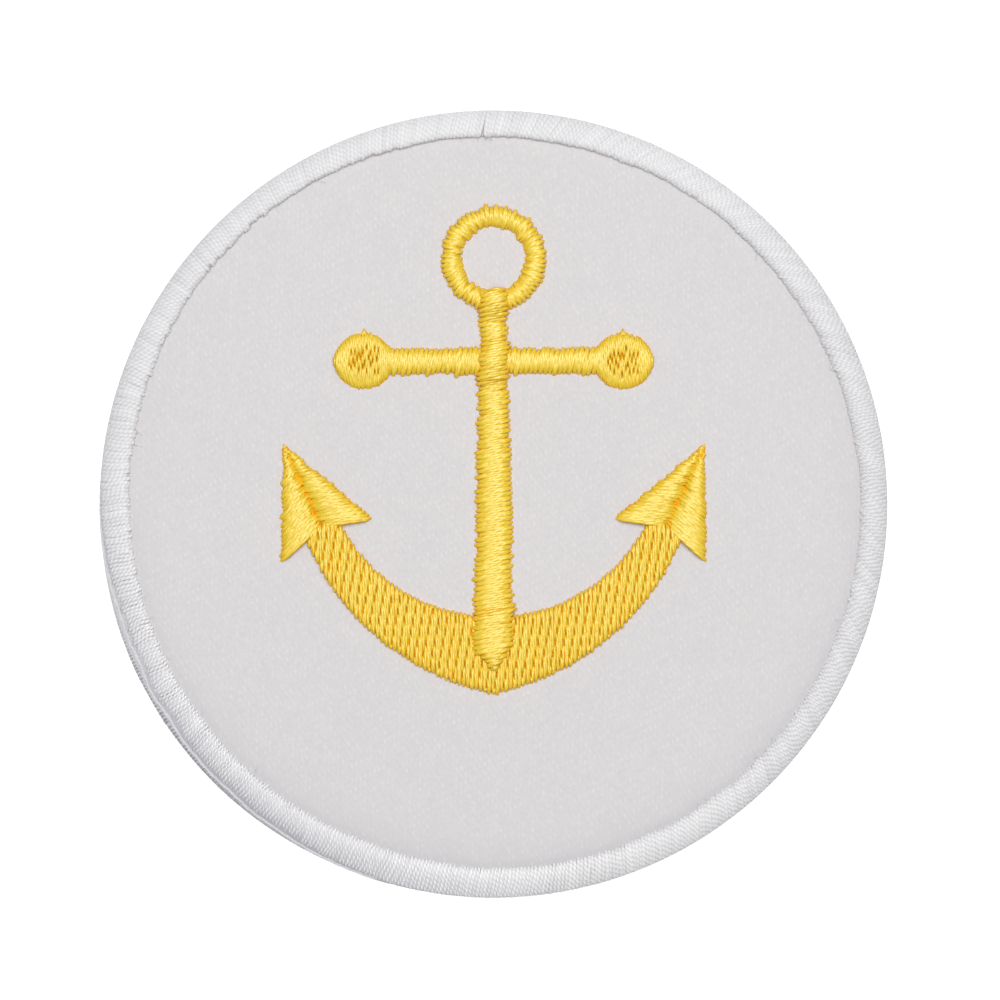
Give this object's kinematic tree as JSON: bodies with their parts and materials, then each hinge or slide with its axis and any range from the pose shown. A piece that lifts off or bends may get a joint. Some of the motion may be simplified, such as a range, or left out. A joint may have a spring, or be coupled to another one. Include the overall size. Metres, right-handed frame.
{
  "type": "embroidered patch",
  "caption": "Round embroidered cloth patch with a raised overlocked border and a gold satin-stitched anchor on a white twill ground; lies flat, sewn or ironed on by its back.",
  "frame": {"origin": "middle of the patch, level with the underside that it rests on", "axes": "+Z out of the embroidered face, +Y to the top of the motif, +X to its right"},
  "size_m": [0.0762, 0.0762, 0.0027],
  "materials": {
    "ground_twill": "matt white polyester twill",
    "border_thread": "glossy white polyester thread",
    "gold_thread": "glossy golden yellow polyester thread"
  },
  "bodies": {
    "root": {"ground": "ground_twill", "border": "border_thread", "anchor_ring": "gold_thread", "anchor_stock": "gold_thread", "stock_end_left": "gold_thread", "stock_end_right": "gold_thread", "anchor_arms": "gold_thread", "fluke_left": "gold_thread", "fluke_right": "gold_thread", "anchor_shank": "gold_thread"}
  },
  "joints": []
}
